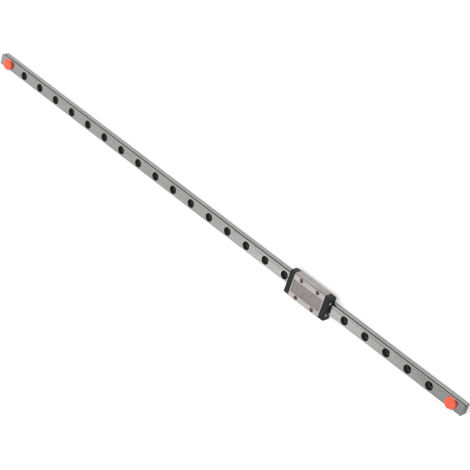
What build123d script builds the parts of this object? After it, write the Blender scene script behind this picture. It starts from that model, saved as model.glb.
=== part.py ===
from build123d import *
import os
from math import sqrt

# Miniature profile linear guide: a rail with one long carriage and a plug in each end hole.
# Millimetres. X runs along the rail, Z points out of its top and Z = 0 is its mounting face.

# Rail
rail_length = 500
rail_width = 9
rail_height = 6.5
rail_top_chamfer = 0.3
rail_foot_chamfer = 0.5
rail_land = 0.55
hole_pitch = 20
end_distance_least = 10
bolt_hole_radius = 1.75
counterbore_radius = 3
counterbore_depth = 3.5

# Balls and the pointed-arch grooves that they run in
ball_radius = 0.794
ball_gap = 0.06
ball_height = 4
ball_overhang = 0.15
race_radius = 0.86
race_clearance = 0.03
race_reach = 0.72
relief_width = 0.5
relief_depth = 1.2
lip_below = 1.4

# Carriage block
carriage_x = 105.5
block_length = 29.9
block_width = 20
block_top = 10
block_bottom = 2
block_edge = 0.6
leg_edge = 0.3
side_gap = 0.35
top_gap = 0.35
panel_width = 10.2
panel_depth = 0.4
panel_end_margin = 0.9
return_radius = 0.9

# Tapped holes in the carriage's top
tap_spacing_x = 16
tap_spacing_y = 15
tap_radius = 1.25
tap_depth = 3
tap_mouth_radius = 1.5

# End caps and end seals
cap_thickness = 4
cap_side_step = 0.3
cap_height_step = 0.4
cap_edge = 0.3
cap_gap = 0.4
seal_thickness = 1
seal_inset = 0.2
seal_edge = 0.15
seal_gap = 0.12

# Screws that hold a cap and its seal to the block
screw_spacing = 10
screw_height = 7.75
screw_radius = 0.7
screw_head_radius = 1.15
screw_head_height = 0.5
screw_bite = 3
screw_fit = 0.05
screw_pocket_depth = 0.75

# End plugs
plug_head_radius = 4.6
plug_head_height = 2.2
plug_head_edge = 0.5
plug_notch_count = 3
plug_notch_radius = 1
plug_notch_depth = 0.6
plug_first_notch = 47
plug_fit = 0.05
plug_tip_length = 1.5
plug_stop_gap = 0.3

# Derived places
hole_count = 1 + int((rail_length - 2 * end_distance_least) / hole_pitch)
end_hole_x = (hole_count - 1) * hole_pitch / 2
ball_y = rail_width / 2 + ball_overhang
return_y = (ball_y + relief_depth + block_width / 2) / 2
return_offset = return_y - ball_y
channel_y = rail_width / 2 + side_gap
channel_top = rail_height + top_gap
block_end = block_length / 2
cap_width = block_width - 2 * cap_side_step
cap_top = block_top - cap_height_step
cap_bottom = block_bottom + cap_height_step
carriage_end = block_end + cap_thickness + seal_thickness
arch_offset = (race_radius - ball_radius - race_clearance) / sqrt(2)
carriage_middle = Plane.YZ.offset(carriage_x)


def arch(distance):
    """Depth of a groove below the balls' centres, at a distance above or below them.

    Each flank is an arc whose centre lies past the ball's, so the two flanks meet in a point and
    a ball touches each of them at 45 degrees. The curve is its own inverse.
    """
    return sqrt(race_radius**2 - (distance + arch_offset) ** 2) - arch_offset


def flank(into, start, end):
    """Three points of one flank of the groove at +Y, between two heights from the balls' centres.

    into is -1 for the rail's groove and 1 for the block's.
    """
    heights = (start, (start + end) / 2, end)
    return [(ball_y + into * arch(abs(height)), ball_height + height) for height in heights]


def relief(into):
    """The square relief slot at the bottom of the groove at +Y, from its lower corner up."""
    mouth_y = ball_y + into * arch(relief_width / 2)
    floor_y = ball_y + into * relief_depth
    low = ball_height - relief_width / 2
    high = ball_height + relief_width / 2
    return [(mouth_y, low), (floor_y, low), (floor_y, high), (mouth_y, high)]


def rail_half(gap):
    """Outline points of the plain rail section at +Y, below and above the groove, with a gap."""
    side = rail_width / 2 + gap
    top = rail_height + gap
    below = [
        (side - rail_foot_chamfer, 0),
        (side, rail_foot_chamfer),
        (side, ball_height - lip_below),
    ]
    above = [
        (side, top - rail_top_chamfer - rail_land),
        (side, top - rail_top_chamfer),
        (side - rail_top_chamfer, top),
        (0, top),
    ]
    return below, above


def save(piece, label):
    """Labels a finished piece and writes it."""
    piece.label = label
    export_step(piece, f"parts/{label}.step")


os.makedirs("parts", exist_ok=True)

# Rail: the ground section, then the row of counterbored holes
with BuildPart() as rail:
    with BuildSketch(Plane.YZ):
        with BuildLine():
            below_groove, above_groove = rail_half(0)
            lower = flank(-1, -race_reach, -relief_width / 2)
            upper = flank(-1, relief_width / 2, race_reach)
            Polyline((0, 0), *below_groove, lower[0])
            ThreePointArc(*lower)
            Polyline(*relief(-1))
            ThreePointArc(*upper)
            Polyline(upper[-1], *above_groove)
            mirror(about=Plane.YZ)
        make_face()
    extrude(amount=rail_length / 2, both=True)
    with Locations(Plane.XY.offset(rail_height)):
        with GridLocations(hole_pitch, 1, hole_count, 1):
            CounterBoreHole(bolt_hole_radius, counterbore_radius, counterbore_depth)
save(rail.part, "rail")

# End plug: a soft head with finger notches on a stem that fills the counterbore
notch_centre = plug_head_radius + plug_notch_radius - plug_notch_depth
for name, x in (("end_plug_left", -end_hole_x), ("end_plug_right", end_hole_x)):
    with BuildPart() as end_plug:
        with BuildSketch(Plane.XY.offset(rail_height)):
            with Locations((x, 0)):
                Circle(plug_head_radius)
        extrude(amount=plug_head_height)
        chamfer(end_plug.faces().sort_by(Axis.Z)[-1].edges(), plug_head_edge)
        with BuildSketch(Plane.XY.offset(rail_height)):
            with Locations((x, 0)):
                with PolarLocations(notch_centre, plug_notch_count, plug_first_notch):
                    Circle(plug_notch_radius)
        extrude(amount=plug_head_height, mode=Mode.SUBTRACT)
        with BuildSketch(Plane.XY.offset(rail_height)):
            with Locations((x, 0)):
                Circle(counterbore_radius - plug_fit)
        extrude(amount=-(counterbore_depth - plug_fit))
        with BuildSketch(Plane.XY.offset(rail_height - counterbore_depth + plug_fit)):
            with Locations((x, 0)):
                Circle(bolt_hole_radius - plug_fit)
        extrude(amount=-plug_tip_length)
    save(end_plug.part, name)

# Carriage block: a saddle section with a raceway inside each leg
with BuildPart() as carriage_block:
    with BuildSketch(carriage_middle):
        with BuildLine():
            mouth = arch(channel_y - ball_y)
            lower = flank(1, -mouth, -relief_width / 2)
            upper = flank(1, relief_width / 2, mouth)
            Polyline(
                (0, block_top),
                (block_width / 2 - block_edge, block_top),
                (block_width / 2, block_top - block_edge),
                (block_width / 2, block_bottom + block_edge),
                (block_width / 2 - block_edge, block_bottom),
                (channel_y + leg_edge, block_bottom),
                (channel_y, block_bottom + leg_edge),
                lower[0],
            )
            ThreePointArc(*lower)
            Polyline(*relief(1))
            ThreePointArc(*upper)
            Polyline(upper[-1], (channel_y, channel_top), (0, channel_top))
            mirror(about=Plane.YZ)
        make_face()
    extrude(amount=block_end, both=True)
    # Return bores for the balls
    with BuildSketch(carriage_middle):
        with Locations((-return_y, ball_height), (return_y, ball_height)):
            Circle(return_radius)
    extrude(amount=block_end, both=True, mode=Mode.SUBTRACT)
    # Sunk panel between the two mounting ribs
    with BuildSketch(Plane.XY.offset(block_top)):
        with Locations((carriage_x, 0)):
            Rectangle(block_length - 2 * panel_end_margin, panel_width)
    extrude(amount=-panel_depth, mode=Mode.SUBTRACT)
    # Mounting holes
    with Locations((carriage_x, 0, block_top)):
        with GridLocations(tap_spacing_x, tap_spacing_y, 2, 2):
            CounterSinkHole(tap_radius, tap_mouth_radius, tap_depth)
    # Screw holes in both ends
    for end in (-1, 1):
        with BuildSketch(carriage_middle.offset(end * block_end)):
            with Locations((-screw_spacing / 2, screw_height), (screw_spacing / 2, screw_height)):
                Circle(screw_radius + screw_fit)
        extrude(amount=-end * (screw_bite + screw_fit), mode=Mode.SUBTRACT)
save(carriage_block.part, "carriage_block")

# End cap: moulded, with the two channels that turn the balls round into the return bores
cap_inner = carriage_middle.offset(block_end)
turn_x = carriage_x + block_end
with BuildPart() as end_cap:
    with BuildSketch(cap_inner):
        with Locations((0, (cap_top + cap_bottom) / 2)):
            Rectangle(cap_width, cap_top - cap_bottom)
    extrude(amount=cap_thickness)
    chamfer(end_cap.edges().filter_by(Axis.X), cap_edge)
    chamfer(end_cap.faces().sort_by(Axis.X)[-1].edges(), cap_edge)
    with BuildSketch(cap_inner):
        with Locations((0, (rail_height + cap_gap) / 2)):
            Rectangle(rail_width + 2 * cap_gap, rail_height + cap_gap)
        with Locations((-screw_spacing / 2, screw_height), (screw_spacing / 2, screw_height)):
            Circle(screw_radius + screw_fit)
    extrude(amount=cap_thickness, mode=Mode.SUBTRACT)
    # Half-round channels, square in section, from each raceway to its return bore
    with BuildSketch(Plane.XY.offset(ball_height)):
        turn_y = (ball_y + return_y) / 2
        with Locations((turn_x, -turn_y), (turn_x, turn_y)):
            Circle(return_offset / 2 + return_radius)
            Circle(return_offset / 2 - return_radius, mode=Mode.SUBTRACT)
    extrude(amount=return_radius, both=True, mode=Mode.SUBTRACT)

# End seal: a wiper plate whose opening follows the rail's section
seal_inner = cap_inner.offset(cap_thickness)
with BuildPart() as end_seal:
    with BuildSketch(seal_inner):
        with Locations((0, (cap_top + cap_bottom) / 2)):
            Rectangle(cap_width - 2 * seal_inset, cap_top - cap_bottom - 2 * seal_inset)
    extrude(amount=seal_thickness)
    chamfer(end_seal.edges().filter_by(Axis.X), seal_edge)
    chamfer(end_seal.faces().sort_by(Axis.X)[-1].edges(), seal_edge)
    with BuildSketch(seal_inner):
        with BuildLine():
            below_groove, above_groove = rail_half(seal_gap)
            lip_y = ball_y - arch(race_reach) + seal_gap
            Polyline(
                (0, 0),
                *below_groove,
                (lip_y, ball_height - race_reach),
                (lip_y, ball_height + race_reach),
                *above_groove,
            )
            mirror(about=Plane.YZ)
        make_face()
        with Locations((-screw_spacing / 2, screw_height), (screw_spacing / 2, screw_height)):
            Circle(screw_radius + screw_fit)
    extrude(amount=seal_thickness, mode=Mode.SUBTRACT)
    with BuildSketch(seal_inner.offset(seal_thickness)):
        with Locations((-screw_spacing / 2, screw_height), (screw_spacing / 2, screw_height)):
            Circle(screw_head_radius + screw_fit)
    extrude(amount=-screw_pocket_depth, mode=Mode.SUBTRACT)

# Screws of one end, front at -Y and back at +Y
screw_seat = seal_inner.offset(seal_thickness - screw_pocket_depth)
screws = {}
for place, y in (("front", -screw_spacing / 2), ("back", screw_spacing / 2)):
    with BuildPart() as cap_screw:
        with BuildSketch(screw_seat):
            with Locations((y, screw_height)):
                Circle(screw_head_radius)
        extrude(amount=screw_head_height)
        with BuildSketch(screw_seat):
            with Locations((y, screw_height)):
                Circle(screw_radius)
        extrude(amount=-(cap_thickness + seal_thickness - screw_pocket_depth + screw_bite))
    screws[place] = cap_screw.part

# What closes the right end, and its mirror image at the left end
for name, right_piece in (
    ("end_cap_{}", end_cap.part),
    ("end_seal_{}", end_seal.part),
    ("cap_screw_{}_front", screws["front"]),
    ("cap_screw_{}_back", screws["back"]),
):
    with BuildPart() as left_piece:
        mirror(right_piece, about=carriage_middle)
    save(right_piece, name.format("right"))
    save(left_piece.part, name.format("left"))

# Loaded balls, one row on each side of the rail. There are many, so each has only 26 flat
# faces: a cube with its edges cut back until its corners lie on the ball.
cube_size = 2 * ball_radius * (1 + sqrt(2)) / sqrt(5 + 2 * sqrt(2))
with BuildPart() as ball:
    Box(cube_size, cube_size, cube_size)
    chamfer(ball.edges(), cube_size / (2 + sqrt(2)))
ball_pitch = 2 * ball_radius + ball_gap
ball_count = int(block_length / ball_pitch)
for name, side in (("ball_row_front", -1), ("ball_row_back", 1)):
    with BuildPart() as ball_row:
        with Locations((carriage_x, side * ball_y, ball_height)):
            with GridLocations(ball_pitch, 1, ball_count, 1):
                add(ball.part)
    save(ball_row.part, name)

# Travel of the carriage from its rest place, up to the plugs
travel_end = end_hole_x - plug_head_radius - carriage_end - plug_stop_gap
print("travel from", -travel_end - carriage_x, "to", travel_end - carriage_x)
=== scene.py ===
"""Looks of a miniature profile linear guide: ground rail, ball carriage and two end plugs.

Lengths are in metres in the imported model's frame: X along the rail, Y across it, Z up from its
mounting face. The rail, block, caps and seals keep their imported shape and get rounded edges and
finishes here. Balls, cap screws, threads and plugs are finer surfaces where their solids stand.
"""
from math import pi, radians

import bmesh
import bpy
import numpy as np
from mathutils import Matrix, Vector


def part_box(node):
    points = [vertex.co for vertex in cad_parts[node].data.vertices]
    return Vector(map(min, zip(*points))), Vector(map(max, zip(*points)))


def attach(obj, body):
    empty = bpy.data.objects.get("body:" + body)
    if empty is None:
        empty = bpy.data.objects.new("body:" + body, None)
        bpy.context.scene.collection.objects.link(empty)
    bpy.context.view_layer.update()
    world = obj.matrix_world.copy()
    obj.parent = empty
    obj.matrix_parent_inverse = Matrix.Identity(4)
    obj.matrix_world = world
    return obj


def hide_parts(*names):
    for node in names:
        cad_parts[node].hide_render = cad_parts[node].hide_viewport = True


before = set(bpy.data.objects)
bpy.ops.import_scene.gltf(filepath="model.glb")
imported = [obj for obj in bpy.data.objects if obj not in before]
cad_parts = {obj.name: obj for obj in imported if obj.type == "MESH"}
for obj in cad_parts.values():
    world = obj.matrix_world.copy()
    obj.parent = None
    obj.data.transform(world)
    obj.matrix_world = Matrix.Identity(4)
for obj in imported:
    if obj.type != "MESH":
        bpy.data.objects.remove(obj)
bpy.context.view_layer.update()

bl_info = {
    "name": "Miniature linear guide",
    "version": (1, 0, 0),
    "blender": (4, 5, 0),
    "location": "View3D > Sidebar > Linear guide",
    "description": "Finishes a profile rail, its ball carriage and its end plugs",
    "category": "Object",
}

MM = 0.001
RAIL_LOW, RAIL_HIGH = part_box("rail")
BLOCK_LOW, BLOCK_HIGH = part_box("carriage_block")
BLOCK_X = (BLOCK_LOW.x + BLOCK_HIGH.x) / 2
# The rail's first and last hole, counted from the one in its middle
END_HOLE = 12


def linear(hex_colour):
    """Turns an sRGB hex colour such as "#A8A8A6" into linear red, green and blue."""
    parts = np.array([int(hex_colour[i : i + 2], 16) for i in (1, 3, 5)]) / 255
    curve = np.where(parts <= 0.04045, parts / 12.92, ((parts + 0.055) / 1.055) ** 2.4)
    return tuple(curve.tolist())


def colour(name, description, hex_colour):
    """A colour property whose default is an sRGB hex colour."""
    return bpy.props.FloatVectorProperty(
        name=name, description=description, default=linear(hex_colour), subtype="COLOR",
        min=0, max=1,
    )


def length(name, description, millimetres):
    """A length property whose default is in millimetres."""
    return bpy.props.FloatProperty(
        name=name, description=description, default=millimetres * MM, unit="LENGTH", precision=5
    )


def share(name, description, value):
    """A property between 0 and 1."""
    return bpy.props.FloatProperty(
        name=name, description=description, default=value, min=0, max=1, subtype="FACTOR"
    )


def power(name, description, watts):
    """A lamp's power."""
    return bpy.props.FloatProperty(
        name=name, description=description, default=watts, min=0, unit="POWER"
    )


class GuideFinish(bpy.types.PropertyGroup):
    """Colours and roughness of the guide's materials."""

    rail: colour("Rail top", "Ground top and raceways of the rail", "#CDCDCC")
    # Darker than the top as painted shade
    shaded_rail_side: colour("Rail sides", "Outermost faces of the rail's sides", "#C0C0BF")
    rim: colour("Hole rims", "Ground steel next to the rail's holes", "#B8B8B7")
    # Painted shade on the relief slots and lips; also the hole edge rings and bolt holes
    skin: colour("Hardening skin", "Slots and hole edges that the grinding misses", "#0F0E0E")
    bored: colour("Hole walls", "Walls of the rail's counterbores", "#444444")
    seat: colour("Hole seats", "Floors of the rail's counterbores", "#686867")
    # Darker than the top partly as painted shade
    sawn_and_shaded: colour("Sawn ends", "Cut ends of the rail", "#5C5B5A")
    block: colour("Block ribs", "Ground ribs of the carriage block", "#B6B0AF")
    # Darker than the ribs as painted shade
    shaded_block_side: colour("Block sides", "Ground sides and ends of the carriage block", "#A5A1A0")
    block_edge: colour("Block edges", "Unground broken edges of the carriage block", "#7C7775")
    panel: colour("Sunk panel", "Milled panel between the ribs of the block", "#938C8B")
    tapped: colour("Tapped holes", "Cut threads and their holes", "#B5AEAA")
    mouth: colour("Tap mouths", "Countersunk mouths of the tapped holes", "#2A2726")
    plastic: colour("Cap plastic", "Black moulded end caps", "#080707")
    rubber: colour("Seal rubber", "Black wiper plates", "#090808")
    screw: colour("Screw steel", "Bright cap screws", "#E4E4E2")
    ball: colour("Ball steel", "Polished bearing balls", "#D8D8DA")
    plug: colour("Plug plastic", "Orange end plugs", "#FC6440")
    rail_roughness: share("Rail roughness", "Roughness of the ground rail", 0.19)
    block_roughness: share("Block roughness", "Roughness of the ground block", 0.42)


class GuideSizes(bpy.types.PropertyGroup):
    """Sizes that the finishes and the finer pieces follow."""

    hole_pitch: length("Hole pitch", "Spacing of the rail's holes", 20)
    counterbore_radius: length("Counterbore radius", "Radius of the wide part of a rail hole", 3)
    counterbore_edge: length("Counterbore edge", "Width of the broken edge of a rail hole", 0.42)
    counterbore_depth: length("Counterbore depth", "Depth of the wide part of a rail hole", 3.5)
    rim_width: length("Rim width", "Width of the brighter ring round a rail hole", 0.4)
    groove_height: length("Groove height", "Height of the ball grooves' middle", 4)
    relief_width: length("Relief width", "Width of the slot at the bottom of a groove", 0.5)
    lip_middle: length("Lip middle", "Height of the upper lip's middle above the groove's", 1.185)
    lip_width: length("Lip width", "Height of the upper lip of a groove", 0.93)
    panel_half_width: length("Half panel width", "Half the width of the sunk panel", 5.1)
    panel_depth: length("Panel depth", "How far the panel is sunk below the ribs", 0.4)
    block_edge: length("Block edge", "Width of the block's broken long edges", 0.6)
    steel_rounding: length("Steel rounding", "Rounding of the rail's and block's edges", 0.06)
    cap_rounding: length("Cap rounding", "Rounding of an end cap's edges", 0.1)
    seal_rounding: length("Seal rounding", "Rounding of an end seal's edges", 0.04)
    ball_radius: length("Ball radius", "Radius of a bearing ball", 0.794)
    ball_pitch: length("Ball pitch", "Spacing of the balls in a row", 1.648)
    tap_spacing_x: length("Tap spacing along", "Spacing of the tapped holes along the rail", 16)
    tap_spacing_y: length("Tap spacing across", "Spacing of the tapped holes across the rail", 15)
    tap_radius: length("Tap drill radius", "Radius of a tapped hole's wall", 1.25)
    tap_depth: length("Tap depth", "Depth of a tapped hole", 3)
    tap_mouth: length("Tap mouth", "Radius of the dark mouth of a tapped hole", 1.62)
    thread_pitch: length("Thread pitch", "Rise of the M3 thread in one turn", 0.5)
    thread_height: length("Thread height", "How far the thread stands in from the wall", 0.14)
    cross_width: length("Cross width", "Width of a cap screw's cross recess", 0.3)
    cross_depth: length("Cross depth", "Depth of a cap screw's cross recess", 0.25)
    screw_radius: length("Screw radius", "Radius of a cap screw's shank", 0.7)
    screw_head: length("Screw head", "Height of a cap screw's solid head", 0.5)
    screw_rise: length("Screw rise", "Rise of a cap screw's dome past its solid's top", 0.25)
    screw_crown: length("Screw crown", "Rise of a cap screw's domed top", 0.35)
    plug_radius: length("Plug radius", "Radius of an end plug's head", 4.6)
    plug_notch_radius: length("Notch radius", "Radius of a finger notch of a plug", 1)
    plug_notch_depth: length("Notch depth", "Depth of a finger notch of a plug", 0.6)
    plug_first_notch: bpy.props.FloatProperty(
        name="First notch", description="Angle of a plug's first finger notch",
        default=radians(47), unit="ROTATION",
    )
    plug_rounding: length("Plug rounding", "Rounding of a plug's upper edge", 0.55)
    plug_stem: length("Plug stem", "Radius of a plug's stem in the counterbore", 2.95)
    plug_pin: length("Plug pin", "Radius of a plug's tip in the bolt hole", 1.7)
    plug_tip: length("Plug tip", "Length of a plug's tip in the bolt hole", 1.5)


class GuideStage(bpy.types.PropertyGroup):
    """Camera, light and floor."""

    camera_place: bpy.props.FloatVectorProperty(
        name="Camera place", description="Where the camera stands",
        default=(0.63002, 0.60916, 0.87985), subtype="TRANSLATION", unit="LENGTH",
    )
    camera_turn: bpy.props.FloatVectorProperty(
        name="Camera turn", description="XYZ angles of the camera",
        default=(radians(-16.2303), radians(41.9250), radians(21.6983)), subtype="EULER",
        unit="ROTATION",
    )
    camera_lens: bpy.props.FloatProperty(
        name="Lens", description="Focal length for a sensor 36 mm wide", default=126.512, min=1
    )
    sky: share("Sky", "Strength of the even light from all round", 0.75)
    lamp_power: power("Lamp power", "Power of the large soft lamp", 6)
    lamp_size: length("Lamp size", "Side of the large soft lamp", 1200)
    back_power: power("Back power", "Power of the small lamp behind", 0.12)
    back_size: length("Back size", "Side of the small lamp behind", 250)
    floor_reach: length("Floor reach", "Half the side of the floor", 3000)
    floor_drop: length("Floor drop", "How far the floor lies below the rail", 0.2)
    floor: colour("Floor", "Colour of the floor", "#F0F0F0")
    floor_glow: share("Floor glow", "How much the floor glows where it is seen", 0.35)
    card: colour("Card", "Colour of the grey card over the rail's right end", "#DADADA")
    card_height: length("Card height", "How high the grey card hangs", 300)


class LinearGuide(bpy.types.PropertyGroup):
    """All settings of the guide."""

    finish: bpy.props.PointerProperty(type=GuideFinish)
    sizes: bpy.props.PointerProperty(type=GuideSizes)
    stage: bpy.props.PointerProperty(type=GuideStage)


# Materials


def add_node(tree, kind, inputs=(), **settings):
    """Adds a node with its settings, and fills its inputs with numbers or links nodes to them.

    An input is named or numbered. What it gets is a value, a socket, or a node, which stands for
    its first output.
    """
    made = tree.nodes.new(kind)
    for name, value in settings.items():
        setattr(made, name, value)
    for place, value in dict(inputs).items():
        if isinstance(value, bpy.types.Node):
            value = value.outputs[0]
        if isinstance(value, bpy.types.NodeSocket):
            tree.links.new(value, made.inputs[place])
        else:
            made.inputs[place].default_value = value
    return made


def empty_tree(owner):
    """Gives a material or a world its node tree, emptied."""
    owner.use_nodes = True
    owner.node_tree.nodes.clear()
    return owner.node_tree


def start_material(name):
    """A new material, its empty tree, and its object coordinates."""
    made = bpy.data.materials.new(name)
    tree = empty_tree(made)
    return made, tree, add_node(tree, "ShaderNodeTexCoord").outputs["Object"]


def shades(base, spread):
    """A darker and a lighter shade of a colour, as the inputs 6 and 7 of a colour mix."""
    base = np.array(base)
    dark, light = base * (1 - spread), np.minimum(base * (1 + spread), 1)
    return {6: (*dark.tolist(), 1), 7: (*light.tolist(), 1)}


def ground_streaks(tree, place, long, apart):
    """Streaks of grinding along X: noise drawn out to a length, at a spacing."""
    along = add_node(
        tree, "ShaderNodeMapping", {"Vector": place, "Scale": (1 / long, 1 / apart, 1 / apart)}
    )
    return add_node(
        tree, "ShaderNodeTexNoise", {"Vector": along, "Scale": 1, "Detail": 3, "Roughness": 0.6}
    )


def ground_rail_steel(finish, sizes):
    """Bearing steel, hardened, with its top and sides ground lengthways.

    The eye gets a soft grey sheen with fine specks and faint long streaks. The relief slots and
    the lips above the grooves are painted black as shade, and the outermost sides are painted a
    little darker than the top as shade. A black ring round the top of each hole stands in for an
    unshaped chamfer, and the bolt holes below the seats are black. The holes' bored walls are
    dark grey, their seats a little lighter, and a ring of brighter steel lies round each. The cut
    ends are darker, partly as painted shade, with saw marks across.
    """
    made, tree, place = start_material("ground_bearing_steel")
    apart = add_node(tree, "ShaderNodeSeparateXYZ", {0: place})
    x, y, z = apart.outputs
    pitch = sizes.hole_pitch
    wrapped = add_node(
        tree, "ShaderNodeMath", {0: x, 1: pitch / 2, 2: -pitch / 2}, operation="WRAP"
    )
    across = add_node(tree, "ShaderNodeCombineXYZ", {0: wrapped, 1: y})
    length_of = add_node(tree, "ShaderNodeVectorMath", {0: across}, operation="LENGTH")
    radius = length_of.outputs["Value"]
    wall = sizes.counterbore_radius + sizes.counterbore_edge
    # Margins of the masks, which keep rounded edges and neighbouring faces apart
    fade, rim_gap, slot_edge, hole_edge = 0.02 * MM, 0.05 * MM, 0.1 * MM, 0.2 * MM
    end_depth, side_depth, seat_depth = 0.03 * MM, 0.04 * MM, 0.1 * MM
    in_hole = add_node(
        tree, "ShaderNodeMapRange",
        {"Value": radius, "From Min": wall, "From Max": wall + fade, "To Min": 1, "To Max": 0},
    )
    in_rim = add_node(
        tree, "ShaderNodeMapRange",
        {"Value": radius, "From Min": wall + rim_gap, "From Max": wall + sizes.rim_width,
         "To Min": 1, "To Max": 0},
        interpolation_type="SMOOTHSTEP",
    )
    # Relief slots and the lips above the grooves: their black is painted shade of groove and lip
    above_groove = add_node(
        tree, "ShaderNodeMath", {0: z, 1: sizes.groove_height}, operation="SUBTRACT"
    )
    from_groove = add_node(tree, "ShaderNodeMath", {0: above_groove}, operation="ABSOLUTE")
    slot = add_node(
        tree, "ShaderNodeMath", {0: from_groove, 1: sizes.relief_width / 2 + slot_edge},
        operation="LESS_THAN",
    )
    lip = add_node(
        tree, "ShaderNodeMath",
        {0: above_groove, 1: sizes.lip_middle, 2: sizes.lip_width / 2},
        operation="COMPARE",
    )
    in_slot = add_node(tree, "ShaderNodeMath", {0: slot, 1: lip}, operation="MAXIMUM")
    from_middle = add_node(tree, "ShaderNodeMath", {0: y}, operation="ABSOLUTE")
    outside = add_node(
        tree, "ShaderNodeMath", {0: from_middle, 1: sizes.counterbore_radius + hole_edge},
        operation="GREATER_THAN",
    )
    side_slot = add_node(tree, "ShaderNodeMath", {0: in_slot, 1: outside}, operation="MULTIPLY")
    dark = add_node(tree, "ShaderNodeMath", {0: in_hole, 1: side_slot}, operation="MAXIMUM")
    from_centre = add_node(tree, "ShaderNodeMath", {0: x}, operation="ABSOLUTE")
    at_end = add_node(
        tree, "ShaderNodeMath", {0: from_centre, 1: RAIL_HIGH.x - end_depth},
        operation="GREATER_THAN",
    )
    # Grinding streaks, really 0.05 mm apart and drawn 1.2 mm apart so that they show
    streaks = ground_streaks(tree, place, 14 * MM, 1.2 * MM)
    # The wheel's grit leaves specks, really some hundredths wide and drawn 1.1 mm wide to show
    specks = add_node(
        tree, "ShaderNodeTexNoise", {"Vector": place, "Scale": 1 / (1.1 * MM), "Detail": 0}
    )
    top = add_node(
        tree, "ShaderNodeMix", {0: streaks, **shades(finish.rail, 0.2)}, data_type="RGBA"
    )
    # The outermost side faces are painted darker than the top as shade
    side = add_node(
        tree, "ShaderNodeMix", {0: streaks, **shades(finish.shaded_rail_side, 0.3)}, data_type="RGBA"
    )
    side_face = add_node(
        tree, "ShaderNodeMath", {0: from_middle, 1: RAIL_HIGH.y - side_depth},
        operation="GREATER_THAN",
    )
    streaked = add_node(
        tree, "ShaderNodeMix", {0: side_face, 6: top.outputs[2], 7: side.outputs[2]},
        data_type="RGBA",
    )
    speck_grey = (0.6, 0.6, 0.6)
    speckled = add_node(
        tree, "ShaderNodeMix", {0: specks, **shades(speck_grey, 0.28)}, data_type="RGBA"
    )
    ground = add_node(
        tree, "ShaderNodeMix", {0: 1.0, 6: streaked.outputs[2], 7: speckled.outputs[2]},
        data_type="RGBA", blend_type="MULTIPLY",
    )
    # Saw marks 0.3 mm apart across the cut ends; the wave repeats each tenth of pi
    saw = add_node(
        tree, "ShaderNodeTexWave",
        {"Vector": place, "Scale": pi / 10 / (0.3 * MM), "Distortion": 1.5, "Detail": 2},
        bands_direction="Z",
    )
    # The cut ends' darker colour is partly painted shade
    sawn_and_shaded = add_node(
        tree, "ShaderNodeMix", {0: saw.outputs["Fac"], **shades(finish.sawn_and_shaded, 0.25)},
        data_type="RGBA",
    )
    # The counterbore's wall and seat, from just below the rail's top to just below the seat
    half = sizes.counterbore_depth / 2
    in_wide = add_node(
        tree, "ShaderNodeMath", {0: z, 1: RAIL_HIGH.z - half - seat_depth, 2: half},
        operation="COMPARE",
    )
    bored = add_node(tree, "ShaderNodeMath", {0: in_hole, 1: in_wide}, operation="MULTIPLY")
    seat_z = RAIL_HIGH.z - sizes.counterbore_depth
    seat = add_node(tree, "ShaderNodeMath", {0: z, 1: seat_z, 2: seat_depth}, operation="COMPARE")
    wide = add_node(
        tree, "ShaderNodeMix", {0: seat, 6: (*finish.bored, 1), 7: (*finish.seat, 1)},
        data_type="RGBA",
    )
    # Black is painted shade on the slots and lips; the hole edges and bolt holes are black too
    walls_and_painted_shade = add_node(
        tree, "ShaderNodeMix", {0: bored, 6: (*finish.skin, 1), 7: wide.outputs[2]},
        data_type="RGBA",
    )
    base = ground.outputs[2]
    for mask, over in (
        (in_rim, (*finish.rim, 1)), (at_end, sawn_and_shaded.outputs[2]), (dark, walls_and_painted_shade.outputs[2]),
    ):
        laid = add_node(tree, "ShaderNodeMix", {0: mask, 6: base, 7: over}, data_type="RGBA")
        base = laid.outputs[2]
    # Streaks change the roughness; the black and dark grey places are rougher and hardly metallic
    streak_change, dark_roughness, dark_metal = 0.06, 0.62, 0.2
    sheen = add_node(
        tree, "ShaderNodeMapRange",
        {"Value": streaks, "To Min": finish.rail_roughness - streak_change,
         "To Max": finish.rail_roughness + streak_change},
    )
    matt = add_node(tree, "ShaderNodeMath", {0: dark, 1: dark_roughness}, operation="MULTIPLY")
    rough = add_node(tree, "ShaderNodeMath", {0: sheen, 1: matt}, operation="MAXIMUM")
    metal = add_node(
        tree, "ShaderNodeMapRange", {"Value": dark, "To Min": 1, "To Max": dark_metal}
    )
    marks = add_node(tree, "ShaderNodeBump", {"Height": streaks, "Distance": 0.004 * MM})
    shader = add_node(
        tree, "ShaderNodeBsdfPrincipled",
        {"Base Color": base, "Metallic": metal, "Roughness": rough,
         "Specular IOR Level": 0.15, "Normal": marks},
    )
    add_node(tree, "ShaderNodeOutputMaterial", {"Surface": shader})
    return made


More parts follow.
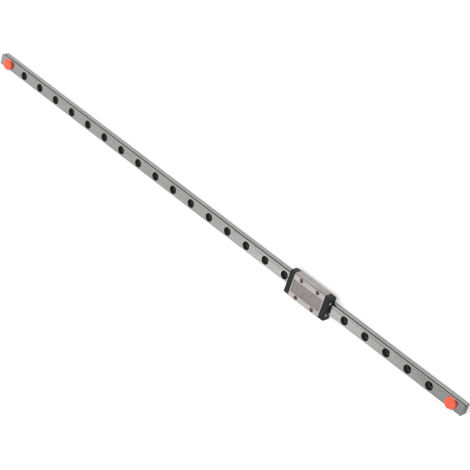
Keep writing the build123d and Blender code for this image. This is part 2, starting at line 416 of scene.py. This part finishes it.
def ground_block_steel(finish, sizes):
    """Hardened steel, ground on its ribs and sides.

    The eye gets a light, slightly warm sheen with streaks along the ribs and sides, a darker matt
    panel between the ribs with the slanted marks of its milling, darker broken edges along the
    sides, and tapped holes with dark mouths and cut walls. The sides and ends are painted darker
    than the ribs as shade.
    """
    made, tree, place = start_material("ground_block_steel")
    centred = add_node(tree, "ShaderNodeMapping", {"Vector": place, "Location": (-BLOCK_X, 0, 0)})
    folded = add_node(tree, "ShaderNodeVectorMath", {0: centred}, operation="ABSOLUTE")
    x, y, z = add_node(tree, "ShaderNodeSeparateXYZ", {0: folded}).outputs
    # Margins of the masks, which keep rounded edges and neighbouring faces apart
    hair, panel_margin, wall_margin, fade, edge_rise = (
        size * MM for size in (0.02, 0.03, 0.05, 0.06, 0.12)
    )
    panel_z = BLOCK_HIGH.z - sizes.panel_depth
    sunk = add_node(
        tree, "ShaderNodeMath", {0: z, 1: panel_z, 2: panel_margin}, operation="COMPARE"
    )
    between = add_node(
        tree, "ShaderNodeMath", {0: y, 1: sizes.panel_half_width + wall_margin},
        operation="LESS_THAN",
    )
    panel = add_node(tree, "ShaderNodeMath", {0: sunk, 1: between}, operation="MULTIPLY")
    flat = add_node(tree, "ShaderNodeCombineXYZ", {0: x, 1: y})
    from_tap = add_node(
        tree, "ShaderNodeVectorMath",
        {0: flat, 1: (sizes.tap_spacing_x / 2, sizes.tap_spacing_y / 2, 0)}, operation="DISTANCE",
    )
    in_mouth = add_node(
        tree, "ShaderNodeMapRange",
        {"Value": from_tap.outputs["Value"], "From Min": sizes.tap_mouth,
         "From Max": sizes.tap_mouth + fade, "To Min": 1, "To Max": 0},
    )
    in_tap = add_node(
        tree, "ShaderNodeMath", {0: from_tap.outputs["Value"], 1: sizes.tap_radius + hair},
        operation="LESS_THAN",
    )
    # Grinding streaks, really 0.05 mm apart and drawn 1.6 mm apart so that they show
    streaks = ground_streaks(tree, place, 12 * MM, 1.6 * MM)
    # Slanted marks of the milling cutter, really 0.2 mm apart and drawn 1.4 mm apart to show
    slanted = add_node(
        tree, "ShaderNodeMapping",
        {"Vector": place, "Rotation": (0, 0, radians(-20)), "Scale": (1.4 * MM, 9 * MM, 9 * MM)},
        vector_type="TEXTURE",
    )
    lay = add_node(
        tree, "ShaderNodeTexNoise", {"Vector": slanted, "Scale": 1, "Detail": 2, "Roughness": 0.6}
    )
    edge = sizes.block_edge - hair
    at_side = add_node(
        tree, "ShaderNodeMath", {0: y, 1: BLOCK_HIGH.y - edge}, operation="GREATER_THAN"
    )
    below_top = add_node(
        tree, "ShaderNodeMath", {0: z, 1: BLOCK_HIGH.z - hair}, operation="LESS_THAN"
    )
    near_top = add_node(
        tree, "ShaderNodeMath", {0: z, 1: BLOCK_HIGH.z - edge + edge_rise},
        operation="GREATER_THAN",
    )
    side_edge = add_node(tree, "ShaderNodeMath", {0: at_side, 1: near_top}, operation="MULTIPLY")
    on_edge = add_node(tree, "ShaderNodeMath", {0: side_edge, 1: below_top}, operation="MULTIPLY")
    ribs = add_node(
        tree, "ShaderNodeMix", {0: streaks, **shades(finish.block, 0.25)}, data_type="RGBA"
    )
    # The sides and ends are painted darker than the ribs as shade
    sides = add_node(
        tree, "ShaderNodeMix", {0: streaks, **shades(finish.shaded_block_side, 0.6)}, data_type="RGBA"
    )
    milled = add_node(
        tree, "ShaderNodeMix", {0: lay, **shades(finish.panel, 0.42)}, data_type="RGBA"
    )
    holes = add_node(
        tree, "ShaderNodeMix", {0: in_tap, 6: (*finish.mouth, 1), 7: (*finish.tapped, 1)},
        data_type="RGBA",
    )
    base = ribs.outputs[2]
    for mask, over in (
        (below_top, sides.outputs[2]), (on_edge, (*finish.block_edge, 1)),
        (panel, milled.outputs[2]), (in_mouth, holes.outputs[2]),
    ):
        laid = add_node(tree, "ShaderNodeMix", {0: mask, 6: base, 7: over}, data_type="RGBA")
        base = laid.outputs[2]
    # The panel was only milled, so it is rougher
    milled_change = 0.13
    rough = add_node(
        tree, "ShaderNodeMapRange",
        {"Value": panel, "To Min": finish.block_roughness,
         "To Max": finish.block_roughness + milled_change},
    )
    marks = add_node(tree, "ShaderNodeBump", {"Height": streaks, "Distance": 0.004 * MM})
    shader = add_node(
        tree, "ShaderNodeBsdfPrincipled",
        {"Base Color": base, "Metallic": 1, "Roughness": rough, "Normal": marks},
    )
    add_node(tree, "ShaderNodeOutputMaterial", {"Surface": shader})
    return made


def cut_thread_steel(finish):
    """The block's steel where the tap cut it: unground, dull and darkened by cutting oil."""
    made, tree, place = start_material("cut_thread_steel")
    stain = add_node(
        tree, "ShaderNodeTexNoise", {"Vector": place, "Scale": 1 / (0.6 * MM), "Detail": 3}
    )
    base = add_node(
        tree, "ShaderNodeMix", {0: stain, **shades(finish.tapped, 0.2)}, data_type="RGBA"
    )
    shader = add_node(
        tree, "ShaderNodeBsdfPrincipled",
        {"Base Color": base.outputs[2], "Metallic": 1, "Roughness": 0.45},
    )
    add_node(tree, "ShaderNodeOutputMaterial", {"Surface": shader})
    return made


def black_polyamide(finish):
    """Glass-filled polyamide moulded black in a spark-eroded mould.

    The eye gets an almost colourless dark surface with a broad weak sheen and a fine matt grain,
    with a few paler wisps where the glass comes near the skin.
    """
    made, tree, place = start_material("moulded_black_polyamide")
    grain = add_node(
        tree, "ShaderNodeTexNoise", {"Vector": place, "Scale": 1 / (0.25 * MM), "Detail": 2}
    )
    wisps = add_node(
        tree, "ShaderNodeTexNoise",
        {"Vector": place, "Scale": 1 / (2.2 * MM), "Detail": 5, "Distortion": 0.6},
    )
    base = add_node(
        tree, "ShaderNodeMix", {0: wisps, **shades(finish.plastic, 0.28)}, data_type="RGBA"
    )
    rough = add_node(tree, "ShaderNodeMapRange", {"Value": wisps, "To Min": 0.42, "To Max": 0.6})
    skin = add_node(tree, "ShaderNodeBump", {"Height": grain, "Distance": 0.02 * MM})
    shader = add_node(
        tree, "ShaderNodeBsdfPrincipled",
        {"Base Color": base.outputs[2], "Roughness": rough, "IOR": 1.42, "Normal": skin},
    )
    add_node(tree, "ShaderNodeOutputMaterial", {"Surface": shader})
    return made


def nitrile_rubber(finish):
    """Nitrile rubber, vulcanised on a thin plate: matt black with a faint bloom."""
    made, tree, place = start_material("moulded_nitrile_rubber")
    bloom = add_node(
        tree, "ShaderNodeTexNoise", {"Vector": place, "Scale": 1 / (1.5 * MM), "Detail": 4}
    )
    grain = add_node(
        tree, "ShaderNodeTexNoise", {"Vector": place, "Scale": 1 / (0.2 * MM), "Detail": 2}
    )
    base = add_node(
        tree, "ShaderNodeMix", {0: bloom, **shades(finish.rubber, 0.25)}, data_type="RGBA"
    )
    skin = add_node(tree, "ShaderNodeBump", {"Height": grain, "Distance": 0.012 * MM})
    shader = add_node(
        tree, "ShaderNodeBsdfPrincipled",
        {"Base Color": base.outputs[2], "Roughness": 0.68, "IOR": 1.47, "Normal": skin},
    )
    add_node(tree, "ShaderNodeOutputMaterial", {"Surface": shader})
    return made


def orange_polyethylene(finish):
    """Low-density polyethylene, moulded in bright orange.

    The eye gets a saturated waxy surface: a soft sheen, a little light carried under the skin,
    and faint flow clouds from the moulding.
    """
    made, tree, place = start_material("moulded_orange_polyethylene")
    flow = add_node(
        tree, "ShaderNodeTexNoise", {"Vector": place, "Scale": 1 / (3 * MM), "Detail": 2}
    )
    base = add_node(
        tree, "ShaderNodeMix", {0: flow, **shades(finish.plug, 0.07)}, data_type="RGBA"
    )
    grain = add_node(
        tree, "ShaderNodeTexNoise", {"Vector": place, "Scale": 1 / (0.4 * MM), "Detail": 2}
    )
    skin = add_node(tree, "ShaderNodeBump", {"Height": grain, "Distance": 0.012 * MM})
    shader = add_node(
        tree, "ShaderNodeBsdfPrincipled",
        {
            "Base Color": base.outputs[2],
            "Roughness": 0.38,
            "IOR": 1.51,
            "Subsurface Weight": 0.12,
            "Subsurface Radius": (1.0, 0.3, 0.15),
            "Subsurface Scale": 0.6 * MM,
            "Normal": skin,
        },
    )
    add_node(tree, "ShaderNodeOutputMaterial", {"Surface": shader})
    return made


def nickelled_screw_steel(finish):
    """Cold-headed steel, nickel plated: bright, with the faint orange peel of the plating."""
    made, tree, place = start_material("nickelled_screw_steel")
    peel = add_node(
        tree, "ShaderNodeTexNoise", {"Vector": place, "Scale": 1 / (0.35 * MM), "Detail": 2}
    )
    base = add_node(
        tree, "ShaderNodeMix", {0: peel, **shades(finish.screw, 0.06)}, data_type="RGBA"
    )
    skin = add_node(tree, "ShaderNodeBump", {"Height": peel, "Distance": 0.01 * MM})
    shader = add_node(
        tree, "ShaderNodeBsdfPrincipled",
        {"Base Color": base.outputs[2], "Metallic": 1, "Roughness": 0.42, "Normal": skin},
    )
    add_node(tree, "ShaderNodeOutputMaterial", {"Surface": shader})
    return made


def lapped_ball_steel(finish):
    """Chromium bearing steel, lapped to a mirror, under a thin film of oil."""
    made, tree, place = start_material("lapped_ball_steel")
    film = add_node(
        tree, "ShaderNodeTexNoise", {"Vector": place, "Scale": 1 / (0.9 * MM), "Detail": 2}
    )
    base = add_node(
        tree, "ShaderNodeMix", {0: film, **shades(finish.ball, 0.05)}, data_type="RGBA"
    )
    rough = add_node(tree, "ShaderNodeMapRange", {"Value": film, "To Min": 0.05, "To Max": 0.16})
    shader = add_node(
        tree, "ShaderNodeBsdfPrincipled",
        {"Base Color": base.outputs[2], "Metallic": 1, "Roughness": rough},
    )
    add_node(tree, "ShaderNodeOutputMaterial", {"Surface": shader})
    return made


# Surfaces


def closed_faces(rows, columns):
    """Faces of a grid that closes round its columns and ends in a point below and above.

    Vertex 0 is the lower point and the last vertex the upper one. Rows run up the outside and
    columns run anticlockwise, seen from above, which turns every face outwards.
    """
    grid = 1 + np.arange(rows * columns).reshape(rows, columns)
    beside = np.roll(grid, -1, axis=1)
    quads = np.stack([grid[:-1], beside[:-1], beside[1:], grid[1:]], -1).reshape(-1, 4)
    low = np.stack([np.zeros(columns, int), beside[0], grid[0]], -1)
    high = np.stack([np.full(columns, rows * columns + 1), grid[-1], beside[-1]], -1)
    return quads.tolist() + low.tolist() + high.tolist()


def ring_faces(rows, columns):
    """Faces of a grid that closes round its columns and round its rows, as a ring does."""
    grid = np.arange(rows * columns).reshape(rows, columns)
    beside, above = np.roll(grid, -1, axis=1), np.roll(grid, -1, axis=0)
    return np.stack([grid, beside, np.roll(beside, -1, axis=0), above], -1).reshape(-1, 4).tolist()


def repeated(vertices, faces, places):
    """One shape at several places, as one list of vertices and one of faces."""
    moved = (np.asarray(places)[:, None] + vertices[None]).reshape(-1, 3)
    starts = range(0, len(moved), len(vertices))
    return moved, [[start + corner for corner in face] for start in starts for face in faces]


def add_piece(name, vertices, faces, material, body, slot, replaced=()):
    """Makes a smooth piece, puts it on its body, and hides the nodes it stands for. The slot is
    not used.
    """
    mesh = bpy.data.meshes.new(name)
    mesh.from_pydata(vertices.tolist(), [], faces)
    mesh.validate()
    mesh.materials.append(material)
    mesh.shade_smooth()
    mesh.set_sharp_from_angle(angle=radians(35))
    piece = bpy.data.objects.new(name, mesh)
    bpy.context.scene.collection.objects.link(piece)
    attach(piece, body)
    if replaced:
        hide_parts(*replaced)


def rounded_copy(node, name, material, body, rounding):
    """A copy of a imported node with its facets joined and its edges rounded, shown for it.

    The node's loose triangles are merged, flat neighbours become one face, and a bevel rounds the
    edges that turn by more than 30 degrees.
    """
    one_place, one_plane, sharp = 0.0005 * MM, radians(0.3), radians(30)
    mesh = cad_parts[node].data.copy()
    mesh.name = name
    work = bmesh.new()
    work.from_mesh(mesh)
    bmesh.ops.remove_doubles(work, verts=work.verts, dist=one_place)
    bmesh.ops.dissolve_limit(work, angle_limit=one_plane, verts=work.verts, edges=work.edges)
    work.to_mesh(mesh)
    work.free()
    mesh.materials.clear()
    mesh.materials.append(material)
    mesh.shade_smooth()
    mesh.set_sharp_from_angle(angle=sharp)
    piece = bpy.data.objects.new(name, mesh)
    bpy.context.scene.collection.objects.link(piece)
    bevel = piece.modifiers.new("broken_edges", "BEVEL")
    bevel.width, bevel.segments = rounding, 2
    bevel.limit_method, bevel.angle_limit = "ANGLE", sharp
    bevel.harden_normals, bevel.use_clamp_overlap = True, False
    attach(piece, body)
    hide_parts(node)


def ball(radius, rows=15, columns=28):
    """A sphere: radius times the sine and cosine of height and turn angles."""
    height = np.linspace(-pi / 2, pi / 2, rows + 2)[1:-1, None]
    turn = np.linspace(0, 2 * pi, columns, endpoint=False)[None]
    x, y = np.cos(height) * np.cos(turn), np.cos(height) * np.sin(turn)
    z = np.broadcast_to(np.sin(height), x.shape)
    grid = radius * np.stack([x, y, z], -1).reshape(-1, 3)
    ends = radius * np.array([[0, 0, -1], [0, 0, 1]])
    return np.concatenate([ends[:1], grid, ends[1:]]), closed_faces(rows, columns)


def thread_sleeve(radius, pitch, height, start, end, columns=48, rows_per_turn=12):
    """An internal thread: a sleeve whose inner wall stands in from the drilled wall.

    It stands in by the height times a triangle wave of the height above the start, in turns, less
    the angle in turns, and fades to nothing over half a turn at both ends. There it is just clear
    of the drilled wall. The outer wall lies just inside the steel.
    """
    turns = (end - start) / pitch
    rows = int(turns * rows_per_turn) + 1
    turn = np.linspace(0, 2 * pi, columns, endpoint=False)[None]
    z = np.linspace(end, start, rows)[:, None]
    phase = (z - start) / pitch - turn / (2 * pi)
    wave = 1 - np.abs(2 * (phase - np.floor(phase)) - 1)
    fade = np.clip(np.minimum(z - start, end - z) / (pitch / 2), 0, 1)
    clear, sunk = 0.004 * MM, 0.05 * MM
    inner = radius - height * wave * fade - clear
    outer = np.full_like(inner, radius + sunk)
    reach = np.concatenate([inner, outer[::-1]])
    level = np.broadcast_to(np.concatenate([z, z[::-1]]), reach.shape)
    points = np.stack([reach * np.cos(turn), reach * np.sin(turn), level], -1)
    return points.reshape(-1, 3), ring_faces(2 * rows, columns)


def cross_screw(sizes, radius, head, reach):
    """A screw along Z with its seat at zero: a low dome with a cross recess, then rim and shank.

    The dome is a square grid drawn onto a disc, x times the root of 1 less half y squared, and
    the reverse for y. It drops with the square of the radius, less the recess, which is deepest in
    the middle of two crossed slots with sloping walls. The grid's outline is then carried down
    the profile of rim, seat and shank.
    """
    dome = 0.92 * radius
    # In shares of the dome's radius: half a slot's width, its reach and the slope at its end
    half, slot_reach, slot_slope = sizes.cross_width / 2 / dome, 0.69, 0.25
    # The grid's lines stand closest where the slots' walls slope
    steps = np.concatenate([
        np.linspace(-1, -0.72, 4), np.linspace(-0.66, -half * 1.5, 6), [-half, -half * 0.65, 0],
    ])
    steps = np.concatenate([steps, -steps[-2::-1]])
    u, v = np.meshgrid(steps, steps)
    x, y = u * np.sqrt(1 - v**2 / 2), v * np.sqrt(1 - u**2 / 2)
    wide = np.clip((half * 1.1 - np.abs(np.stack([u, v]))) / (half * 0.5), 0, 1)
    long = np.clip((slot_reach - np.abs(np.stack([v, u]))) / slot_slope, 0, 1)
    recess = (wide * long).max(0) * sizes.cross_depth
    level = head - sizes.screw_crown * (x**2 + y**2) - recess
    top = np.stack([dome * x, dome * y, level], -1).reshape(-1, 3)
    side = len(steps)
    index = np.arange(side * side).reshape(side, side)
    quads = np.stack([index[:-1, :-1], index[:-1, 1:], index[1:, 1:], index[1:, :-1]], -1)
    outline = np.concatenate([index[0, :-1], index[:-1, -1], index[-1, :0:-1], index[:0:-1, 0]])
    angle = np.arctan2(top[outline, 1], top[outline, 0])[None]
    shank, edge, tip_edge = sizes.screw_radius, 0.04 * MM, 0.2 * MM
    profile = np.array([
        (radius, head - sizes.screw_crown - 2 * edge), (radius, edge), (radius - edge, 0),
        (shank, 0), (shank, -reach + 1.5 * tip_edge), (shank - tip_edge, -reach),
    ])
    r, z = profile[:, :1], profile[:, 1:]
    rings = np.stack([r * np.cos(angle), r * np.sin(angle), z + 0 * angle], -1).reshape(-1, 3)
    count = len(outline)
    ring_index = len(top) + np.arange(len(profile) * count).reshape(-1, count)
    rows = np.concatenate([outline[None], ring_index])[::-1]
    beside = np.roll(rows, -1, axis=1)
    walls = np.stack([rows[:-1], beside[:-1], beside[1:], rows[1:]], -1).reshape(-1, 4)
    point = len(top) + len(rings)
    fan = np.stack([np.full(count, point), beside[0], rows[0]], -1)
    vertices = np.concatenate([top, rings, [[0, 0, -reach]]])
    return vertices, quads.reshape(-1, 4).tolist() + walls.tolist() + fan.tolist()


def plug_shape(sizes, stem_depth, head, columns=180):
    """An end plug along Z with the rail's top at zero, as rows of an outline that close round.

    The head's outline is its radius or, where a notch is nearer, the near side of the notch's
    circle seen from the axis, blended by a soft minimum. The rows run from the tip up the stem,
    out under the head, up its side, round its edge by a quarter circle and in over a low crown
    with a gate mark in the middle. The numbers here are millimetres.
    """
    turn = np.linspace(0, 2 * pi, columns, endpoint=False)
    full, notch = sizes.plug_radius / MM, sizes.plug_notch_radius / MM
    centre = full + notch - sizes.plug_notch_depth / MM
    third = 2 * pi / 3
    from_notch = (turn - sizes.plug_first_notch + third / 2) % third - third / 2
    inside = notch**2 - (centre * np.sin(from_notch)) ** 2
    near = centre * np.cos(from_notch) - np.sqrt(np.maximum(inside, 0))
    near = np.where(inside > 0, near, centre)
    blend = 0.07
    outline = -blend * np.logaddexp(-full / blend, -near / blend)
    # Tip and stem: round, with broken edges at their lower ends
    depth, end = stem_depth / MM, (stem_depth + sizes.plug_tip) / MM
    stem, pin, stem_edge, pin_edge = sizes.plug_stem / MM, sizes.plug_pin / MM, 0.2, 0.3
    round_rows = np.array([
        (pin - pin_edge, -end), (pin, -end + pin_edge), (pin, -depth), (stem - stem_edge, -depth),
        (stem, -depth + stem_edge), (stem, -stem_edge / 2), (stem, 0),
    ])
    round_reach = np.broadcast_to(round_rows[:, :1], (len(round_rows), columns))
    # The head's side: a broken lower edge, a slight taper and the rounding under the crown
    top, rounding, lower_edge, taper, rise = head / MM, sizes.plug_rounding / MM, 0.12, 0.04, 0.06
    quarter = np.linspace(0, pi / 2, 7)
    inset = np.append([lower_edge, 0], taper + rounding * (1 - np.cos(quarter)))
    side_z = np.append([0, lower_edge], top - rise - rounding * (1 - np.sin(quarter)))
    side = outline[None] - inset[:, None]
    # The crown, in shares of its outline; the last two rows are the floor of the gate mark
    crown_share = np.array([0.86, 0.66, 0.45, 0.3, 0.16, 0.13, 0.06])
    gate_share, gate_depth = 0.15, 0.08
    crown = crown_share[:, None] * side[-1][None]
    crown_z = top - rise * crown_share**2 - np.where(crown_share < gate_share, gate_depth, 0)
    reach = np.concatenate([round_reach, side, crown])
    level = np.concatenate([round_rows[:, 1], side_z, crown_z])[:, None] + 0 * turn[None]
    grid = np.stack([reach * np.cos(turn), reach * np.sin(turn), level], -1).reshape(-1, 3)
    ends = np.array([[0, 0, level[0, 0]], [0, 0, level[-1, 0]]])
    return MM * np.concatenate([ends[:1], grid, ends[1:]]), closed_faces(len(level), columns)


# Stage


def seen_rays(tree):
    """1 for the rays that see a white sky and floor: the camera's, reflections and past glass."""
    rays = add_node(tree, "ShaderNodeLightPath").outputs
    seen = add_node(
        tree, "ShaderNodeMath", {0: rays["Is Camera Ray"], 1: rays["Is Glossy Ray"]},
        operation="ADD",
    )
    return add_node(
        tree, "ShaderNodeMath", {0: seen, 1: rays["Is Transmission Ray"]},
        operation="ADD", use_clamp=True,
    )


def flat_sheet(name, corners, level, material):
    """A flat four-cornered sheet of one material, at one level."""
    mesh = bpy.data.meshes.new(name)
    mesh.from_pydata([(x, y, level) for x, y in corners], [], [(0, 1, 2, 3)])
    mesh.materials.append(material)
    sheet = bpy.data.objects.new(name, mesh)
    bpy.context.scene.collection.objects.link(sheet)
    return sheet


# Operators


class GUIDE_OT_rail(bpy.types.Operator):
    """Finishes the rail"""

    bl_idname = "guide.rail"
    bl_label = "Rail"

    def execute(self, context):
        guide = context.scene.linear_guide
        rounding = guide.sizes.steel_rounding
        steel = ground_rail_steel(guide.finish, guide.sizes)
        rounded_copy("rail", "ground_rail", steel, "rail", rounding)
        return {"FINISHED"}


class GUIDE_OT_block(bpy.types.Operator):
    """Finishes the carriage block"""

    bl_idname = "guide.block"
    bl_label = "Carriage block"

    def execute(self, context):
        guide = context.scene.linear_guide
        rounding = guide.sizes.steel_rounding
        steel = ground_block_steel(guide.finish, guide.sizes)
        rounded_copy("carriage_block", "ground_block", steel, "carriage", rounding)
        return {"FINISHED"}


class GUIDE_OT_threads(bpy.types.Operator):
    """Cuts the threads of the block's mounting holes"""

    bl_idname = "guide.threads"
    bl_label = "Mounting threads"

    def execute(self, context):
        guide = context.scene.linear_guide
        sizes = guide.sizes
        below_mouth, above_floor = 0.3 * MM, 0.02 * MM
        start = BLOCK_HIGH.z - sizes.tap_depth + above_floor
        end = BLOCK_HIGH.z - below_mouth
        sleeve = thread_sleeve(
            sizes.tap_radius, sizes.thread_pitch, sizes.thread_height, start, end
        )
        halves = np.array([-1, 1]) / 2
        x, y = np.meshgrid(BLOCK_X + halves * sizes.tap_spacing_x, halves * sizes.tap_spacing_y)
        places = np.stack([x.ravel(), y.ravel(), np.zeros(x.size)], -1)
        steel = cut_thread_steel(guide.finish)
        add_piece("mounting_threads", *repeated(*sleeve, places), steel, "carriage", "block_steel")
        return {"FINISHED"}


class GUIDE_OT_ends(bpy.types.Operator):
    """Finishes the end caps and end seals"""

    bl_idname = "guide.ends"
    bl_label = "End caps and seals"

    def execute(self, context):
        guide = context.scene.linear_guide
        sizes = guide.sizes
        plastic, rubber = black_polyamide(guide.finish), nitrile_rubber(guide.finish)
        for side in ("left", "right"):
            rounded_copy(
                f"end_cap_{side}", f"moulded_cap_{side}", plastic, "carriage",
                sizes.cap_rounding,
            )
            rounded_copy(
                f"end_seal_{side}", f"wiper_seal_{side}", rubber, "carriage",
                sizes.seal_rounding,
            )
        return {"FINISHED"}


class GUIDE_OT_screws(bpy.types.Operator):
    """Puts a cross-recess screw in each place of the caps"""

    bl_idname = "guide.screws"
    bl_label = "Cap screws"

    def execute(self, context):
        guide = context.scene.linear_guide
        sizes = guide.sizes
        steel = nickelled_screw_steel(guide.finish)
        # Each recess stands at its own angle, in degrees, as screws that were driven home do
        for node, turn in (
            ("cap_screw_right_front", 12), ("cap_screw_right_back", 57),
            ("cap_screw_left_front", 33), ("cap_screw_left_back", 80),
        ):
            low, high = (np.array(corner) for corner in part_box(node))
            outwards = 1 if "right" in node else -1
            outer, inner = (high[0], low[0]) if outwards > 0 else (low[0], high[0])
            radius = (high[1] - low[1]) / 2
            head = sizes.screw_head
            vertices, faces = cross_screw(
                sizes, radius, head + sizes.screw_rise, abs(outer - inner) - head
            )
            spin = radians(turn)
            across = np.array([0, np.cos(spin), np.sin(spin)])
            axis = np.array([outwards, 0, 0])
            axes = np.stack([across, np.cross(axis, across), axis])
            middle = (low + high) / 2
            seat = np.array([outer - outwards * head, middle[1], middle[2]])
            add_piece(
                node.replace("cap_screw", "cross_screw"), vertices @ axes + seat, faces, steel,
                "carriage", "screw_steel", [node],
            )
        return {"FINISHED"}


class GUIDE_OT_balls(bpy.types.Operator):
    """Fills both raceways with balls"""

    bl_idname = "guide.balls"
    bl_label = "Balls"

    def execute(self, context):
        guide = context.scene.linear_guide
        sizes = guide.sizes
        steel = lapped_ball_steel(guide.finish)
        for side in ("front", "back"):
            low, high = (np.array(corner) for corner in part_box(f"ball_row_{side}"))
            middle = (low + high) / 2
            count = 1 + round((high[0] - low[0] - 2 * sizes.ball_radius) / sizes.ball_pitch)
            x = middle[0] + (np.arange(count) - (count - 1) / 2) * sizes.ball_pitch
            places = np.stack([x, np.full(count, middle[1]), np.full(count, middle[2])], -1)
            add_piece(
                f"lapped_balls_{side}", *repeated(*ball(sizes.ball_radius), places), steel,
                "carriage", "ball_steel", [f"ball_row_{side}"],
            )
        return {"FINISHED"}


class GUIDE_OT_plugs(bpy.types.Operator):
    """Moulds the two end plugs"""

    bl_idname = "guide.plugs"
    bl_label = "End plugs"

    def execute(self, context):
        guide = context.scene.linear_guide
        plastic = orange_polyethylene(guide.finish)
        for side in ("left", "right"):
            low, high = (np.array(corner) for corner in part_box(f"end_plug_{side}"))
            head = high[2] - RAIL_HIGH.z
            stem_depth = RAIL_HIGH.z - low[2] - guide.sizes.plug_tip
            vertices, faces = plug_shape(guide.sizes, stem_depth, head)
            axis_x = np.sign(low[0]) * END_HOLE * guide.sizes.hole_pitch
            place = np.array([axis_x, 0, RAIL_HIGH.z])
            add_piece(
                f"moulded_plug_{side}", vertices + place, faces, plastic, "rail", "plug_plastic",
                [f"end_plug_{side}"],
            )
        return {"FINISHED"}


class GUIDE_OT_stage(bpy.types.Operator):
    """Sets the floor, the soft light and the camera"""

    bl_idname = "guide.stage"
    bl_label = "Stage"

    def execute(self, context):
        scene, stage = context.scene, context.scene.linear_guide.stage
        scene.view_settings.view_transform = "Standard"

        # Sky: even light from all round, and white wherever it is seen
        world = bpy.data.worlds.new("even_sky")
        tree = empty_tree(world)
        strength = add_node(
            tree, "ShaderNodeMapRange",
            {"Value": seen_rays(tree), "To Min": stage.sky, "To Max": 1},
        )
        sky = add_node(tree, "ShaderNodeBackground", {"Color": (1, 1, 1, 1), "Strength": strength})
        add_node(tree, "ShaderNodeOutputWorld", {"Surface": sky})
        scene.world = world

        # Floor: a matt pale sheet that glows for the same rays by what it lacks of white
        paper = bpy.data.materials.new("matt_paper_floor")
        tree = empty_tree(paper)
        glow = add_node(
            tree, "ShaderNodeMath", {0: seen_rays(tree), 1: stage.floor_glow},
            operation="MULTIPLY",
        )
        matt = add_node(tree, "ShaderNodeBsdfDiffuse", {"Color": (*stage.floor, 1)})
        lit = add_node(tree, "ShaderNodeEmission", {"Strength": glow})
        both = add_node(tree, "ShaderNodeAddShader", {0: matt, 1: lit})
        add_node(tree, "ShaderNodeOutputMaterial", {"Surface": both})
        reach = stage.floor_reach
        corners = [(-reach, -reach), (reach, -reach), (reach, reach), (-reach, reach)]
        floor = flat_sheet("floor", corners, -stage.floor_drop, paper)

        # One large soft lamp above, a little towards the rail's far end, and a small weak one
        # behind, whose reflection brightens the rail next to the carriage; turns in degrees
        for name, watts, size, place, turn in (
            ("soft_lamp", stage.lamp_power, stage.lamp_size, (-0.35, 0.25, 1.3), (-11, -15, 0)),
            ("back_lamp", stage.back_power, stage.back_size, (-0.59, -0.78, 1.14), (35, -26, 0)),
        ):
            light = bpy.data.lights.new(name, "AREA")
            light.energy, light.shape, light.size = watts, "SQUARE", size
            lamp = bpy.data.objects.new(name, light)
            lamp.location = place
            lamp.rotation_euler = [radians(angle) for angle in turn]
            scene.collection.objects.link(lamp)

        # A grey card over the rail's right end, which only its reflection in the rail shows
        board = bpy.data.materials.new("grey_card")
        tree = empty_tree(board)
        grey = add_node(tree, "ShaderNodeEmission", {"Color": (*stage.card, 1)})
        add_node(tree, "ShaderNodeOutputMaterial", {"Surface": grey})
        left, right, front, back = 0.072, 0.5, -0.5, -0.11
        corners = [(left, front), (left, back), (right, back), (right, front)]
        card = flat_sheet("card", corners, stage.card_height, board)
        card.visible_camera = card.visible_diffuse = card.visible_shadow = False

        lens = bpy.data.cameras.new("camera")
        lens.lens, lens.sensor_width = stage.camera_lens, 36
        camera = bpy.data.objects.new("camera", lens)
        camera.location, camera.rotation_euler = stage.camera_place, stage.camera_turn
        scene.collection.objects.link(camera)
        scene.camera = camera
        return {"FINISHED"}


class GUIDE_PT_panel(bpy.types.Panel):
    """Lists what makes the guide"""

    bl_idname = "GUIDE_PT_panel"
    bl_label = "Linear guide"
    bl_space_type = "VIEW_3D"
    bl_region_type = "UI"
    bl_category = "Linear guide"

    def draw(self, context):
        guide = context.scene.linear_guide
        for operator in OPERATORS:
            self.layout.operator(operator.bl_idname)
        for group in (guide.finish, guide.sizes, guide.stage):
            column = self.layout.column(align=True)
            for name in group.__annotations__:
                column.prop(group, name)


OPERATORS = (
    GUIDE_OT_stage, GUIDE_OT_rail, GUIDE_OT_block, GUIDE_OT_threads, GUIDE_OT_ends,
    GUIDE_OT_screws, GUIDE_OT_balls, GUIDE_OT_plugs,
)
CLASSES = (GuideFinish, GuideSizes, GuideStage, LinearGuide, *OPERATORS, GUIDE_PT_panel)


def register():
    for made in CLASSES:
        bpy.utils.register_class(made)
    bpy.types.Scene.linear_guide = bpy.props.PointerProperty(type=LinearGuide)


def unregister():
    del bpy.types.Scene.linear_guide
    for made in reversed(CLASSES):
        bpy.utils.unregister_class(made)


def main():
    """Makes the whole guide."""
    register()
    bpy.ops.guide.stage()
    bpy.ops.guide.rail()
    bpy.ops.guide.block()
    bpy.ops.guide.threads()
    bpy.ops.guide.ends()
    bpy.ops.guide.screws()
    bpy.ops.guide.balls()
    bpy.ops.guide.plugs()


if __name__ == "__main__":
    main()
